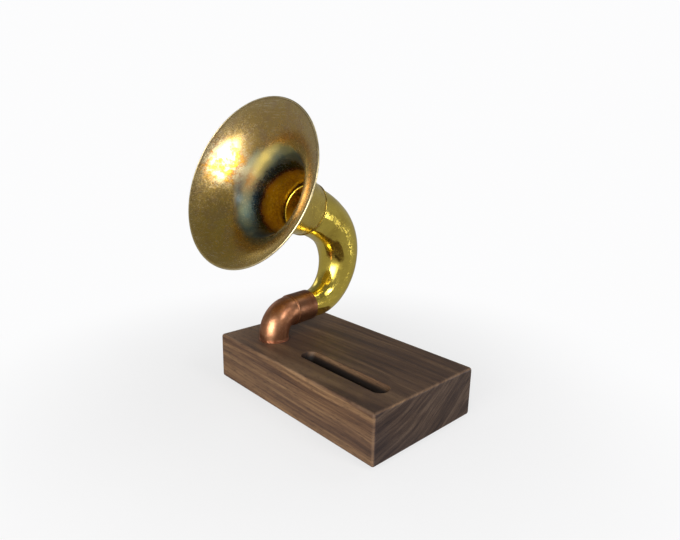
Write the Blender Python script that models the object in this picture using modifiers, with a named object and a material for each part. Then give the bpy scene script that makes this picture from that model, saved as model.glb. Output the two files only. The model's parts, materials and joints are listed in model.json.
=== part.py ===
"""Acoustic horn loudspeaker: a walnut block holds a telephone upright in a leaning slot, a channel
routed in its underside leads the sound to a copper elbow, and a tapering brass horn makes it louder.

It has no electric parts. The horn turns in the block's socket. Run it with
blender --background --python part.py, or from Blender's text editor. Metres, +Z up.
The long front face of the block looks along -Y, and so does the horn, a few degrees off square.
"""

import math

import bmesh
import bpy
from mathutils import Matrix, Vector

# ---------------------------------------------------------------- driving dimensions
GAP = 0.0003  # between pieces that touch

BLOCK_LENGTH = 0.210
BLOCK_DEPTH = 0.124
BLOCK_HEIGHT = 0.045
BLOCK_EDGE = 0.0026
BLOCK_CENTRE = Vector((0.0159, 0.0025))  # puts the whole object's bounding box on the origin

FOOT_RADIUS = 0.007
FOOT_THICKNESS = 0.002
FOOT_INSET = Vector((0.012, 0.011))

SLOT_LEAN = math.radians(25)
SLOT_LENGTH = 0.102
SLOT_WIDTH = 0.0153
SLOT_DEPTH = 0.026  # straight down, at the middle of the slot
SLOT_TOP = Vector((0.0360, -0.0288))  # middle of the mouth, from the block's middle
PORT_LENGTH = 0.044
PORT_WIDTH = 0.008
PORT_Y = -0.038

SOCKET = Vector((-0.0617, -0.0290))  # axis of the elbow's leg, from the block's middle
SPIGOT_SUNK = 0.025
LEDGE_WIDTH = 0.0021
WASHER_THICKNESS = 0.001
SEAL_DEPTH = 0.011  # the seal ring's middle, below the block's top
SEAL_THICKNESS = 0.0024

CHANNEL_X = (-0.076, 0.062)
CHANNEL_Y = (-0.045, -0.021)
CHANNEL_ROOF = 0.012  # above the block's underside
COVER_THICKNESS = 0.003
COVER_X = (-0.084, 0.074)
COVER_Y = (-0.055, -0.011)
COVER_CORNER = 0.006
SCREW_X = (-0.070, -0.005, 0.060)
SCREW_Y = (-0.050, -0.016)
SCREW_HEAD_RADIUS = 0.0029
SCREW_RADIUS = 0.0014
SCREW_LENGTH = 0.0125
SCREW_RIM = 0.0003  # the straight edge of the head
SCREW_CROSS = (0.0032, 0.0007, 0.0020)
SCREW_SUNK = 0.0003

HORN_TURN = math.radians(6.6)  # how far the horn stands turned on its swivel
ELBOW_WALL = 0.0012
PIPE_RADIUS = 0.0143
CUP_RADIUS = 0.0155
ELBOW_BEND = 0.019
OUTLET_HEIGHT = 0.0235  # the outlet's axis, above the block's top
SHOULDER_START = 0.001  # along the outlet, from the end of the bend
SHOULDER_LENGTH = 0.0022
CUP_END = 0.0275
TAIL_START = 0.0075  # the horn's tail begins here inside the cup

HORN_WALL = 0.0008
TAIL_RADIUS = 0.0119
MIDDLE_RADIUS = 0.0206
SEAM_RADIUS = 0.0253
TAPER_START = 0.0126  # along the outlet, from the end of the bend
HORN_STRAIGHT = 0.0344
HORN_BENDS = (  # radius of each part of the bend, and how far it turns
    (0.0369, math.radians(43.7)),
    (0.0472, math.radians(96.0)),
    (0.0932, math.radians(17.4)),
)
SEAM_STRAIGHT = 0.0082

BELL_RADIUS = 0.0790
BELL_DEPTH = 0.0800
NECK_RADIUS = 0.0260
FLARE_OFFSET = 0.020
BELL_WALL = 0.0008
BEAD_THICKNESS = 0.0016

COUPLING_REACH = (0.006, 0.007)  # into the bell's neck, and into the horn tube
COUPLING_RADII = (0.0222, 0.0238)
PACKING_REACH = (0.009, 0.020)  # along the outlet, from the end of the bend
PACKING_RADIUS = 0.0140

LARGE_STEPS = 48
MIDDLE_STEPS = 32
SMALL_STEPS = 16
TUBE_BEVEL = 12  # gives 28 sides
BEND_STEP = math.radians(9)
ROUND_END = 0.0001  # a round-ended slot keeps this much of its flat end

BLOCK_BOTTOM = FOOT_THICKNESS + GAP


# ---------------------------------------------------------------- scene and helpers
def clear_scene():
    for obj in list(bpy.data.objects):
        bpy.data.objects.remove(obj)


def new_collection(name):
    made = bpy.data.collections.new(name)
    bpy.context.scene.collection.children.link(made)
    return made


def new_material(name, colour, roughness, metallic):
    made = bpy.data.materials.new(name)
    made.use_nodes = True
    shader = made.node_tree.nodes["Principled BSDF"]
    shader.inputs["Base Color"].default_value = (*colour, 1.0)
    shader.inputs["Roughness"].default_value = roughness
    shader.inputs["Metallic"].default_value = metallic
    made.diffuse_color = (*colour, 1.0)
    return made


def add_object(name, data, collection, material=None, parent=None):
    made = bpy.data.objects.new(name, data)
    collection.objects.link(made)
    made.parent = parent
    if material is not None:
        data.materials.append(material)
    return made


def shade_round(mesh):
    mesh.shade_smooth()
    mesh.set_sharp_from_angle(angle=math.radians(35))


def mesh_from(name, bm, smooth=False):
    bmesh.ops.recalc_face_normals(bm, faces=bm.faces)
    mesh = bpy.data.meshes.new(name)
    bm.to_mesh(mesh)
    bm.free()
    if smooth:
        shade_round(mesh)
    return mesh


def box_mesh(name, size, corner=0.0, segments=6):
    """A box about its own middle, with its upright edges rounded."""
    bm = bmesh.new()
    bmesh.ops.create_cube(bm, size=1.0)
    bmesh.ops.scale(bm, verts=bm.verts, vec=size)
    if corner:
        upright = [e for e in bm.edges if abs(e.verts[0].co.z - e.verts[1].co.z) > size[2] / 2]
        bmesh.ops.bevel(bm, geom=upright, offset=corner, segments=segments, affect="EDGES", profile=0.5)
    return mesh_from(name, bm)


def rod_mesh(name, radius, low, high, steps):
    """A cylinder about Z, between two heights."""
    bm = bmesh.new()
    bmesh.ops.create_cone(
        bm,
        cap_ends=True,
        segments=steps,
        radius1=radius,
        radius2=radius,
        depth=high - low,
        matrix=Matrix.Translation((0, 0, (low + high) / 2)),
    )
    return mesh_from(name, bm, smooth=True)


def turned(name, profile, collection, material, parent, steps=MIDDLE_STEPS, closed=True):
    """A profile of (radius, height) points turned about Z. It runs down its outer side."""
    mesh = bpy.data.meshes.new(name)
    count = len(profile)
    edges = [(i, i + 1) for i in range(count - 1)]
    if closed:
        edges.append((count - 1, 0))
    mesh.from_pydata([(radius, 0, height) for radius, height in profile], edges, [])
    made = add_object(name, mesh, collection, material, parent)
    screw = made.modifiers.new("turn", "SCREW")
    screw.steps = screw.render_steps = steps
    screw.use_merge_vertices = True
    screw.merge_threshold = 0.00001
    screw.use_smooth_shade = True
    return made


def add_wall(obj, thickness):
    """Turns an open surface into a shell, its wall on the inner side."""
    shell = obj.modifiers.new("wall", "SOLIDIFY")
    shell.thickness = thickness
    shell.offset = -1.0
    shell.use_even_offset = True


def tube(name, stations, wall, collection, material, parent):
    """A pipe of changing outer radius through (point, radius) stations, with an even wall."""
    curve = bpy.data.curves.new(name, "CURVE")
    curve.dimensions = "3D"
    curve.twist_mode = "MINIMUM"
    curve.bevel_depth = 1.0
    curve.bevel_resolution = TUBE_BEVEL
    curve.use_fill_caps = False
    spline = curve.splines.new("POLY")
    spline.points.add(len(stations) - 1)
    for target, (place, radius) in zip(spline.points, stations):
        target.co = (*place, 1.0)
        target.radius = radius
    made = add_object(name, curve, collection, material, parent)
    add_wall(made, wall)
    return made


def cut(target, cutter):
    cutter.hide_render = True
    cutter.display_type = "WIRE"
    boolean = target.modifiers.new("cut " + cutter.name, "BOOLEAN")
    boolean.operation = "DIFFERENCE"
    boolean.object = cutter


def middle(span):
    return (span[0] + span[1]) / 2


def length(span):
    return span[1] - span[0]


# ---------------------------------------------------------------- the horn's shape
def horn_heading(angle):
    return Vector((0, math.cos(angle), math.sin(angle)))


def horn_line():
    """Stations of the horn's centre line from the tail to the seam, in the swivel's frame, each a
    point and its distance from the end of the elbow's bend. Also the heading at the seam."""
    start = Vector((0, ELBOW_BEND, OUTLET_HEIGHT))
    line = [(start + Vector((0, along, 0)), along) for along in (TAIL_START, TAPER_START, 0.020, CUP_END)]
    line.append((start + Vector((0, HORN_STRAIGHT, 0)), HORN_STRAIGHT))
    angle = 0.0
    for radius, turn in HORN_BENDS:
        point, along = line[-1]
        steps = round(turn / BEND_STEP)
        for step in range(1, steps + 1):
            now = angle + turn * step / steps
            move = Vector((0, math.sin(now) - math.sin(angle), math.cos(angle) - math.cos(now)))
            line.append((point + radius * move, along + radius * (now - angle)))
        angle += turn
    point, along = line[-1]
    heading = horn_heading(angle)
    for part in (0.5, 1.0):
        line.append((point + heading * SEAM_STRAIGHT * part, along + SEAM_STRAIGHT * part))
    return line, heading


def horn_radius(along):
    """The horn tube's outer radius: it widens evenly at first, then more slowly near the seam."""
    t = min(max((along - TAPER_START) / (HORN_LENGTH - TAPER_START), 0.0), 1.0)
    tail = TAIL_RADIUS * (1 - t) * (1 - 2 * t)
    waist = MIDDLE_RADIUS * 4 * t * (1 - t)
    seam = SEAM_RADIUS * t * (2 * t - 1)
    return tail + waist + seam


def bell_radius(depth):
    """The bell's outer radius behind its mouth: it falls away as a power of the depth."""
    edge = BELL_RADIUS - BEAD_THICKNESS - GAP
    power = math.log(edge / NECK_RADIUS) / math.log((BELL_DEPTH + FLARE_OFFSET) / FLARE_OFFSET)
    return edge * (FLARE_OFFSET / (depth + FLARE_OFFSET)) ** power


HORN_LINE, SEAM_HEADING = horn_line()
SEAM_POINT, HORN_LENGTH = HORN_LINE[-1]


# ---------------------------------------------------------------- holders and materials
clear_scene()
parts = new_collection("horn_loudspeaker")
cutters = new_collection("cutters")

walnut = new_material("walnut", (0.16, 0.085, 0.045), 0.45, 0.0)
plywood = new_material("plywood", (0.45, 0.30, 0.17), 0.6, 0.0)
rubber = new_material("rubber", (0.02, 0.02, 0.02), 0.8, 0.0)
felt = new_material("felt", (0.10, 0.10, 0.10), 0.95, 0.0)
cork = new_material("cork", (0.42, 0.27, 0.14), 0.9, 0.0)
steel = new_material("steel", (0.55, 0.55, 0.55), 0.3, 1.0)
copper = new_material("copper", (0.62, 0.27, 0.17), 0.28, 1.0)
bright_brass = new_material("bright_brass", (0.80, 0.62, 0.20), 0.18, 1.0)
aged_brass = new_material("aged_brass", (0.55, 0.38, 0.17), 0.28, 1.0)
bead_brass = new_material("bead_brass", (0.78, 0.66, 0.45), 0.25, 1.0)


def make_holder(name, location, parent=None):
    holder = bpy.data.objects.new(name, None)
    holder.empty_display_size = 0.02
    holder.location = location
    holder.parent = parent
    parts.objects.link(holder)
    return holder


# The middle of the block's underside, the swivel on the elbow's leg at the block's top, and the
# middle of the bell's mouth with Z pointing out of the horn.
base = make_holder("base_holder", (BLOCK_CENTRE.x, BLOCK_CENTRE.y, BLOCK_BOTTOM))
swivel = make_holder("swivel_holder", (SOCKET.x, SOCKET.y, BLOCK_HEIGHT), base)
swivel.rotation_euler = (0, 0, HORN_TURN)
mouth = make_holder("bell_holder", SEAM_POINT + SEAM_HEADING * (BELL_DEPTH + GAP), swivel)
mouth.rotation_euler = SEAM_HEADING.to_track_quat("Z", "Y").to_euler()


def make_cutter(name, mesh, location, rotation=(0, 0, 0)):
    cutter = add_object(name, mesh, cutters, None, base)
    cutter.location = location
    cutter.rotation_euler = rotation
    return cutter


def screw_places():
    return [(x, y) for x in SCREW_X for y in SCREW_Y]


# ---------------------------------------------------------------- the walnut block
def make_block():
    bm = bmesh.new()
    bmesh.ops.create_cube(bm, size=1.0)
    bmesh.ops.scale(bm, verts=bm.verts, vec=(BLOCK_LENGTH, BLOCK_DEPTH, BLOCK_HEIGHT))
    bmesh.ops.bevel(bm, geom=bm.edges[:], offset=BLOCK_EDGE, segments=3, affect="EDGES", profile=0.5)
    block = add_object("base_block", mesh_from("base_block", bm, smooth=True), parts, walnut, base)
    block.location = (0, 0, BLOCK_HEIGHT / 2)
    cut_slot(block)
    cut_port(block)
    cut_underside(block)
    cut_socket(block)
    cut_pilot_holes(block)


def cut_slot(block):
    """The slot leans back, and its floor is square to its walls."""
    reach = 0.050
    floor = Vector((SLOT_TOP.x, SLOT_TOP.y, BLOCK_HEIGHT))
    floor -= Vector((0, math.tan(SLOT_LEAN), 1)) * SLOT_DEPTH
    up = Vector((0, math.sin(SLOT_LEAN), math.cos(SLOT_LEAN)))
    mesh = box_mesh("slot_cutter", (SLOT_LENGTH, SLOT_WIDTH, reach), SLOT_WIDTH / 2 - ROUND_END, 8)
    cut(block, make_cutter("slot_cutter", mesh, floor + up * reach / 2, (-SLOT_LEAN, 0, 0)))


def cut_port(block):
    """The sound goes down from the slot's floor into the channel."""
    low, high = CHANNEL_ROOF - 0.003, CHANNEL_ROOF + 0.010
    mesh = box_mesh("port_cutter", (PORT_LENGTH, PORT_WIDTH, high - low), PORT_WIDTH / 2 - ROUND_END, 5)
    cut(block, make_cutter("port_cutter", mesh, (SLOT_TOP.x, PORT_Y, (low + high) / 2)))


def cut_underside(block):
    """A routed channel leads from the port to the socket, and a shallow recess takes its cover."""
    low = -0.005
    width = length(CHANNEL_Y)
    size = (length(CHANNEL_X), width, CHANNEL_ROOF - low)
    mesh = box_mesh("channel_cutter", size, width / 2 - ROUND_END, 8)
    place = (middle(CHANNEL_X), middle(CHANNEL_Y), (CHANNEL_ROOF + low) / 2)
    cut(block, make_cutter("channel_cutter", mesh, place))
    high = COVER_THICKNESS + GAP
    size = (length(COVER_X) + 2 * GAP, length(COVER_Y) + 2 * GAP, high - low)
    place = (middle(COVER_X), middle(COVER_Y), (high + low) / 2)
    cut(block, make_cutter("recess_cutter", box_mesh("recess_cutter", size, COVER_CORNER + GAP), place))


def cut_socket(block):
    """A plain bore takes the elbow's leg, with a groove for its seal and a ledge under its end."""
    bore = PIPE_RADIUS + GAP
    seat = BLOCK_HEIGHT - SPIGOT_SUNK - WASHER_THICKNESS - 2 * GAP
    seal_height = BLOCK_HEIGHT - SEAL_DEPTH
    half_groove = SEAL_THICKNESS / 2 + GAP
    holes = (
        ("bore_cutter", bore, seat, BLOCK_HEIGHT + 0.005),
        ("ledge_cutter", bore - LEDGE_WIDTH, CHANNEL_ROOF - 0.003, seat + 0.005),
        ("groove_cutter", bore + SEAL_THICKNESS + GAP, seal_height - half_groove, seal_height + half_groove),
    )
    for name, radius, low, high in holes:
        mesh = rod_mesh(name, radius, low, high, LARGE_STEPS)
        cut(block, make_cutter(name, mesh, (SOCKET.x, SOCKET.y, 0)))


def cut_pilot_holes(block):
    radius = SCREW_RADIUS + GAP
    mesh = rod_mesh("pilot_cutter", radius, -0.002, SCREW_SUNK + SCREW_LENGTH + GAP, 12)
    for number, (x, y) in enumerate(screw_places(), 1):
        cut(block, make_cutter(f"pilot_cutter_{number}", mesh, (x, y, 0)))


# ---------------------------------------------------------------- the underside's fittings
def make_cover():
    size = (length(COVER_X), length(COVER_Y), COVER_THICKNESS)
    cover = add_object("channel_cover", box_mesh("channel_cover", size, COVER_CORNER), parts, plywood, base)
    cover.location = (middle(COVER_X), middle(COVER_Y), COVER_THICKNESS / 2)
    wide, narrow = SCREW_HEAD_RADIUS + GAP, SCREW_RADIUS + GAP
    countersink = SCREW_SUNK + SCREW_RIM + GAP
    profile = [
        (0, COVER_THICKNESS + 0.002),
        (narrow, COVER_THICKNESS + 0.002),
        (narrow, countersink + wide - narrow),
        (wide, countersink),
        (wide, -0.001),
        (0, -0.001),
    ]
    for number, (x, y) in enumerate(screw_places(), 1):
        name = f"countersink_cutter_{number}"
        sink = turned(name, profile, cutters, None, base, SMALL_STEPS, closed=False)
        sink.location = (x, y, 0)
        cut(cover, sink)


def make_screws():
    """Countersunk wood screws, head down, each with a cross recess."""
    profile = [
        (0, SCREW_LENGTH),
        (SCREW_RADIUS, SCREW_LENGTH - 0.003),
        (SCREW_RADIUS, SCREW_RIM + SCREW_HEAD_RADIUS - SCREW_RADIUS),
        (SCREW_HEAD_RADIUS, SCREW_RIM),
        (SCREW_HEAD_RADIUS, 0),
        (0, 0),
    ]
    for number, (x, y) in enumerate(screw_places(), 1):
        screw = turned(f"cover_screw_{number}", profile, parts, steel, base, SMALL_STEPS, closed=False)
        screw.location = (x, y, SCREW_SUNK)
        for arm in (0, 90):
            name = f"cross_cutter_{number}_{arm}"
            spin = math.radians(arm + 17 * number)
            cut(screw, make_cutter(name, box_mesh(name, SCREW_CROSS), (x, y, SCREW_SUNK), (0, 0, spin)))


def make_feet():
    low, chamfer = -BLOCK_BOTTOM, 0.0004
    profile = [
        (0, -GAP),
        (FOOT_RADIUS, -GAP),
        (FOOT_RADIUS, low + chamfer),
        (FOOT_RADIUS - chamfer, low),
        (0, low),
    ]
    reach_x = BLOCK_LENGTH / 2 - FOOT_INSET.x
    reach_y = BLOCK_DEPTH / 2 - FOOT_INSET.y
    for end, y in (("front", -reach_y), ("back", reach_y)):
        for side, x in (("left", -reach_x), ("right", reach_x)):
            foot = turned(f"foot_{end}_{side}", profile, parts, rubber, base, SMALL_STEPS, closed=False)
            foot.location = (x, y, 0)


# ---------------------------------------------------------------- the swivel
def make_socket_fittings():
    """A felt washer carries the elbow on the ledge, and a rubber ring seals and grips its leg."""
    top = -SPIGOT_SUNK - GAP
    outer, inner = PIPE_RADIUS, PIPE_RADIUS - ELBOW_WALL
    profile = [(outer, top), (outer, top - WASHER_THICKNESS), (inner, top - WASHER_THICKNESS), (inner, top)]
    washer = turned("thrust_washer", profile, parts, felt, base)
    half = SEAL_THICKNESS / 2
    sides = 8
    profile = []
    for side in range(sides):
        angle = math.pi / 2 - 2 * math.pi * side / sides
        radius = PIPE_RADIUS + GAP + half + half * math.cos(angle)
        profile.append((radius, -SEAL_DEPTH + half * math.sin(angle)))
    seal = turned("spigot_seal", profile, parts, rubber, base)
    washer.location = seal.location = (SOCKET.x, SOCKET.y, BLOCK_HEIGHT)


def make_elbow():
    """A copper pipe bend: a plain leg below, and a cup swaged wider at its outlet."""
    stations = [(Vector((0, 0, height)), PIPE_RADIUS) for height in (-SPIGOT_SUNK, -SPIGOT_SUNK / 2, 0)]
    steps = 10
    for step in range(steps + 1):
        angle = math.pi / 2 * step / steps
        across = ELBOW_BEND * (1 - math.cos(angle))
        height = OUTLET_HEIGHT - ELBOW_BEND * (1 - math.sin(angle))
        stations.append((Vector((0, across, height)), PIPE_RADIUS))
    for along, radius in (
        (SHOULDER_START, PIPE_RADIUS),
        (SHOULDER_START + SHOULDER_LENGTH, CUP_RADIUS),
        (CUP_END, CUP_RADIUS),
    ):
        stations.append((Vector((0, ELBOW_BEND + along, OUTLET_HEIGHT)), radius))
    tube("copper_elbow", stations, ELBOW_WALL, parts, copper, swivel)


# ---------------------------------------------------------------- the brass horn
def make_horn_tube():
    stations = [(point, horn_radius(along)) for point, along in HORN_LINE]
    tube("horn_tube", stations, HORN_WALL, parts, bright_brass, swivel)


def make_tail_packing():
    """A cork sleeve grips the horn's tail in the elbow's cup."""
    near, far = PACKING_REACH
    profile = [(PACKING_RADIUS, far), (PACKING_RADIUS, near)]
    profile += [(horn_radius(along) + GAP, along) for along in (near, TAPER_START, far)]
    packing = turned("tail_packing", profile, parts, cork, swivel)
    packing.location = (0, ELBOW_BEND, OUTLET_HEIGHT)
    packing.rotation_euler = (-math.pi / 2, 0, 0)


def make_bell():
    """Spun sheet that flares from the neck to the mouth."""
    steps = 13
    depths = [BELL_DEPTH * (step / steps) ** 1.6 for step in range(steps + 1)]
    profile = [(bell_radius(depth), -depth) for depth in depths]
    bell = turned("bell", profile, parts, aged_brass, mouth, LARGE_STEPS, closed=False)
    add_wall(bell, BELL_WALL)


def make_rim_bead():
    """The wire that the bell's edge is rolled round."""
    sides = 8
    half = BEAD_THICKNESS / 2
    profile = []
    for side in range(sides):
        angle = math.pi / 2 - 2 * math.pi * side / sides
        profile.append((BELL_RADIUS - half + half * math.cos(angle), half * math.sin(angle)))
    turned("rim_bead", profile, parts, bead_brass, mouth, LARGE_STEPS)


def make_coupling():
    """A ring inside the seam joins the bell to the horn tube, and shows as a lip in the throat."""
    inner, outer = COUPLING_RADII
    high = COUPLING_REACH[0] - BELL_DEPTH
    low = -COUPLING_REACH[1] - BELL_DEPTH
    chamfer = 0.0004
    profile = [
        (outer - chamfer, high),
        (outer, high - chamfer),
        (outer, low),
        (inner, low),
        (inner, high - chamfer),
        (inner + chamfer, high),
    ]
    turned("throat_coupling", profile, parts, bead_brass, mouth)


make_block()
make_cover()
make_screws()
make_feet()
make_socket_fittings()
make_elbow()
make_tail_packing()
make_horn_tube()
make_bell()
make_rim_bead()
make_coupling()
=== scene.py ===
import json
import math

import bmesh
import bpy
from mathutils import Matrix, Vector, noise


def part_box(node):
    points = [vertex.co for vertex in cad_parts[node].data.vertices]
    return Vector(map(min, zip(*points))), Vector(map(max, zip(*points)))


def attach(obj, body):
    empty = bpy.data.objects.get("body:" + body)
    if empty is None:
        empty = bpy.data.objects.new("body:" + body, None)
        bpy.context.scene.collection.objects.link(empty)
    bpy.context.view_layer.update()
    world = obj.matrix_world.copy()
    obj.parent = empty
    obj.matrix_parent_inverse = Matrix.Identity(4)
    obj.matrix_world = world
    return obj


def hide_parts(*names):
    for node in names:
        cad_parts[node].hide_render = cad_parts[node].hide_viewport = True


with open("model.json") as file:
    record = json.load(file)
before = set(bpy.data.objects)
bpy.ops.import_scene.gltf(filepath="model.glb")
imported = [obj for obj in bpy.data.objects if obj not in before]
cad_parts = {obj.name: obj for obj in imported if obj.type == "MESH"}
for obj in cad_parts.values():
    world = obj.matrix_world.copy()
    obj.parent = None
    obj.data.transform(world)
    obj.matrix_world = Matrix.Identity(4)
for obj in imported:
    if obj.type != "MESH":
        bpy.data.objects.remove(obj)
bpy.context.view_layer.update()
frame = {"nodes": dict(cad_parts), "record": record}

# ---------------------------------------------------------------- the CAD's dimensions, metres
GAP = 0.0003
HORN_TURN = math.radians(6.6)
SPIGOT_SUNK = 0.025
ELBOW_WALL = 0.0012
PIPE_RADIUS = 0.0143
CUP_RADIUS = 0.0155
ELBOW_BEND = 0.019
OUTLET_HEIGHT = 0.0235
SHOULDER_START = 0.001
SHOULDER_LENGTH = 0.0022
CUP_END = 0.0275
TAIL_START = 0.0075

HORN_WALL = 0.0008
TAIL_RADIUS = 0.0119
MIDDLE_RADIUS = 0.0206
SEAM_RADIUS = 0.0253
TAPER_START = 0.0126
HORN_STRAIGHT = 0.0344
HORN_BENDS = (
    (0.0369, math.radians(43.7)),
    (0.0472, math.radians(96.0)),
    (0.0932, math.radians(17.4)),
)
SEAM_STRAIGHT = 0.0082

BELL_RADIUS = 0.0790
BELL_DEPTH = 0.0800
NECK_RADIUS = 0.0260
FLARE_OFFSET = 0.020
BELL_WALL = 0.0008
BEAD_THICKNESS = 0.0016
COUPLING_REACH = (0.006, 0.007)
COUPLING_RADII = (0.0222, 0.0238)
PACKING_REACH = (0.009, 0.020)
PACKING_RADIUS = 0.0140
SEAL_DEPTH = 0.011
SEAL_THICKNESS = 0.0024

# ---------------------------------------------------------------- the visual model's own, metres
NECK_LIP = 0.0008
LIP_WIDTH = 0.0030
LIP_START = BELL_DEPTH - LIP_WIDTH
BELL_EDGE = BELL_RADIUS - BEAD_THICKNESS / 2
CALM_DEPTH = 0.006
BEAD_EASE = 0.0002
TUBE_EASE = 0.0004
TUBE_RIPPLE = 0.00024
SEAM_TUCK = 0.0005
TUCK_START = 0.0018
TUCK_RUN = 0.0012
HOLE_RIM = 0.0005
OUTLINE_MARGIN = 0.003
LEVEL = 1e-5
ELBOW_LIP = 0.0005
# Heights above the wood.
TURNED_LINES = (0.0007, 0.0012, 0.0017, 0.0023)
TURNED_DEPTH = 0.00014
TURNED_HALF_WIDTH = 0.00016
COLLAR_HEIGHT = 0.0004
COLLAR_REACH = 0.00025
SHOULDER_SHARPNESS = 0.6
FOOT_ROUND = 0.0006
FOOT_EASE = 0.0002
FOOT_DISH = 0.0003
WASHER_EASE = 0.00015
PACKING_EASE = 0.0003
SHARP = math.radians(35)
BEND_STEP = math.radians(1.5)
STRAIGHT_STEPS = 24
UPRIGHT = math.pi / 2
SAME_POINT = 1e-6

# Long flutes in the horn tube's skin: share of the ripple, lobes round it and lobes along it.
FLUTES = ((0.70, 2.6, 14), (0.55, 6.5, 22))
TUBE_DENTS = (0.35, 110.0)
# Waves in the bell's sheet: scale and height.
BELL_WAVES = ((26.0, 0.00022), (70.0, 0.00008))

block_low, block_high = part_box("base_block")
block_middle = (block_low + block_high) / 2
swivel_place = Vector(frame["record"]["behaviour"]["joints"][0]["pos_m"])
swivel = Matrix.Translation(swivel_place) @ Matrix.Rotation(HORN_TURN, 4, "Z")
scene = bpy.context.scene


# ---------------------------------------------------------------- mesh helpers
def add_piece(name, bm, place, looks, body, nodes):
    """Turns bm into a smooth piece that rides on a body and stands for CAD nodes. Its points are
    moved to their place, and the attribute "local" keeps where they were in the piece's own axes."""
    bmesh.ops.remove_doubles(bm, verts=bm.verts, dist=SAME_POINT)
    bmesh.ops.recalc_face_normals(bm, faces=bm.faces)
    layer = bm.verts.layers.float_vector.new("local")
    for vert in bm.verts:
        vert[layer] = vert.co
    bm.transform(place)
    mesh = bpy.data.meshes.new(name)
    bm.to_mesh(mesh)
    bm.free()
    mesh.shade_smooth()
    mesh.set_sharp_from_angle(angle=SHARP)
    for look in looks:
        mesh.materials.append(look)
    piece = bpy.data.objects.new(name, mesh)
    scene.collection.objects.link(piece)
    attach(piece, body)
    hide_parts(*nodes)
    return piece


def ring_mesh(rings, straight=None):
    """Quads between rings of points, and from the last ring back to the first.
    straight gives each point its place on the same pipe before it was bent."""
    bm = bmesh.new()
    layer = bm.verts.layers.float_vector.new("straight") if straight else None
    made = [[bm.verts.new(point) for point in ring] for ring in rings]
    for near, far in zip(made, made[1:] + made[:1]):
        for step in range(len(near)):
            after = (step + 1) % len(near)
            bm.faces.new((near[step], near[after], far[after], far[step]))
    if straight:
        for ring, places in zip(made, straight):
            for vert, place in zip(ring, places):
                vert[layer] = place
    return bm


def turned(profile, steps):
    """A closed profile of (radius, height) turned round Z."""
    rings = []
    for radius, height in profile:
        angles = [2 * math.pi * step / steps for step in range(steps)]
        rings.append([Vector((radius * math.cos(a), radius * math.sin(a), height)) for a in angles])
    return ring_mesh(rings)


def tube_wave(ripple, angle, along, point):
    """How far the skin of a tube bent by hand stands out at a point: long flutes and small dents."""
    flute = Vector((math.cos(angle), math.sin(angle), 0))
    wave = 0.0
    for share, lobes, run in FLUTES:
        wave += ripple * share * noise.noise(flute * lobes + Vector((0, 0, along * run)))
    share, scale = TUBE_DENTS
    return wave + ripple * share * noise.noise(point * scale)


def tube(stations, wall, steps, ripple=0.0):
    """A pipe with a wall along (point, slope, radius, along) stations in the plane X = 0."""
    outer, inner, outer_straight, inner_straight = [], [], [], []
    for point, slope, radius, along in stations:
        across = Vector((1, 0, 0))
        up = Vector((0, -math.sin(slope), math.cos(slope)))
        rows = [[], [], [], []]
        for step in range(steps):
            angle = 2 * math.pi * step / steps
            way = across * math.cos(angle) + up * math.sin(angle)
            wave = tube_wave(ripple, angle, along, point + way * radius) if ripple else 0.0
            for row, size in ((0, radius + wave), (1, radius + wave - wall)):
                rows[row].append(point + way * size)
                rows[row + 2].append((size * math.cos(angle), size * math.sin(angle), along))
        outer.append(rows[0])
        inner.append(rows[1])
        outer_straight.append(rows[2])
        inner_straight.append(rows[3])
    return ring_mesh(outer + inner[::-1], outer_straight + inner_straight[::-1])


def smooth_step(value):
    """0 up to 0, then a smooth rise to 1 at 1."""
    value = min(max(value, 0.0), 1.0)
    return value * value * (3 - 2 * value)


# ---------------------------------------------------------------- the lines of the elbow and horn
def horn_radius(along):
    """The tube's radius, on one curve through its tail, its middle and its seam with the bell."""
    t = min(max((along - TAPER_START) / (horn_length - TAPER_START), 0.0), 1.0)
    tail = TAIL_RADIUS * (1 - t) * (1 - 2 * t)
    middle = MIDDLE_RADIUS * 4 * t * (1 - t)
    return tail + middle + SEAM_RADIUS * t * (2 * t - 1)


def bell_radius(depth):
    """The bell's outer radius at a depth below its mouth: a power curve from its edge to its neck."""
    edge = BELL_RADIUS - BEAD_THICKNESS - GAP
    power = math.log(edge / NECK_RADIUS) / math.log((BELL_DEPTH + FLARE_OFFSET) / FLARE_OFFSET)
    return edge * (FLARE_OFFSET / (depth + FLARE_OFFSET)) ** power


def arc(radius, start, end):
    """The way from one slope to another along a bend in the plane X = 0."""
    across = Vector((0, math.sin(end) - math.sin(start), math.cos(start) - math.cos(end)))
    return across * radius


def horn_line():
    """(point, slope, along) from the horn's tail to its seam with the bell."""
    places = []
    start = Vector((0, ELBOW_BEND, OUTLET_HEIGHT))
    for step in range(STRAIGHT_STEPS):
        along = TAIL_START + (HORN_STRAIGHT - TAIL_START) * step / STRAIGHT_STEPS
        places.append((start + Vector((0, along, 0)), 0.0, along))
    point = start + Vector((0, HORN_STRAIGHT, 0))
    slope, along = 0.0, HORN_STRAIGHT
    for radius, turn in HORN_BENDS:
        steps = math.ceil(turn / BEND_STEP)
        for step in range(steps):
            now = slope + turn * step / steps
            places.append((point + arc(radius, slope, now), now, along + radius * (now - slope)))
        after = slope + turn
        point = point + arc(radius, slope, after)
        slope, along = after, along + radius * turn
    heading = Vector((0, math.cos(slope), math.sin(slope)))
    for step in range(STRAIGHT_STEPS + 1):
        reach = SEAM_STRAIGHT * step / STRAIGHT_STEPS
        places.append((point + heading * reach, slope, along + reach))
    return places


line = horn_line()
seam_point, seam_slope, horn_length = line[-1]
heading = Vector((0, math.cos(seam_slope), math.sin(seam_slope)))
mouth = swivel @ Matrix.Translation(seam_point + heading * (BELL_DEPTH + GAP))
mouth = mouth @ Matrix.Rotation(seam_slope - UPRIGHT, 4, "X")


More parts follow.
